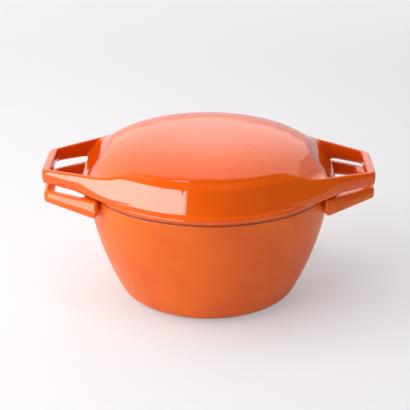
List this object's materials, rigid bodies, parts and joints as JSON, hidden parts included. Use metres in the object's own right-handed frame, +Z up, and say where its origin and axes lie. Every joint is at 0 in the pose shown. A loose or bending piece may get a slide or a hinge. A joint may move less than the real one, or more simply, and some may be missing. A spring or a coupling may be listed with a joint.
{
  "type": "covered casserole",
  "caption": "Round enamelled cast-iron casserole with loop side grips and a low domed lid that has matching loop grips and lifts off.",
  "frame": {"origin": "centre of the pot's foot, on the surface that it stands on", "axes": "+Z up out of the pot's mouth, +X along the line through the pot's two loop grips"},
  "size_m": [0.2934, 0.2168, 0.1506],
  "materials": {
    "orange_enamel_iron": "cast iron under a glossy orange enamel coat, with a bare dark rim",
    "white_enamel": "glossy off-white fused enamel"
  },
  "bodies": {
    "pot": {"pot_casting": "orange_enamel_iron", "pot_enamel_lining": "white_enamel"},
    "lid": {"lid_casting": "orange_enamel_iron", "lid_enamel_lining": "white_enamel"}
  },
  "joints": [
    {"name": "lid_lift", "type": "slide", "parent": "pot", "child": "lid", "axis": [0, 0, 1], "range_m": [0, 0.15]}
  ]
}
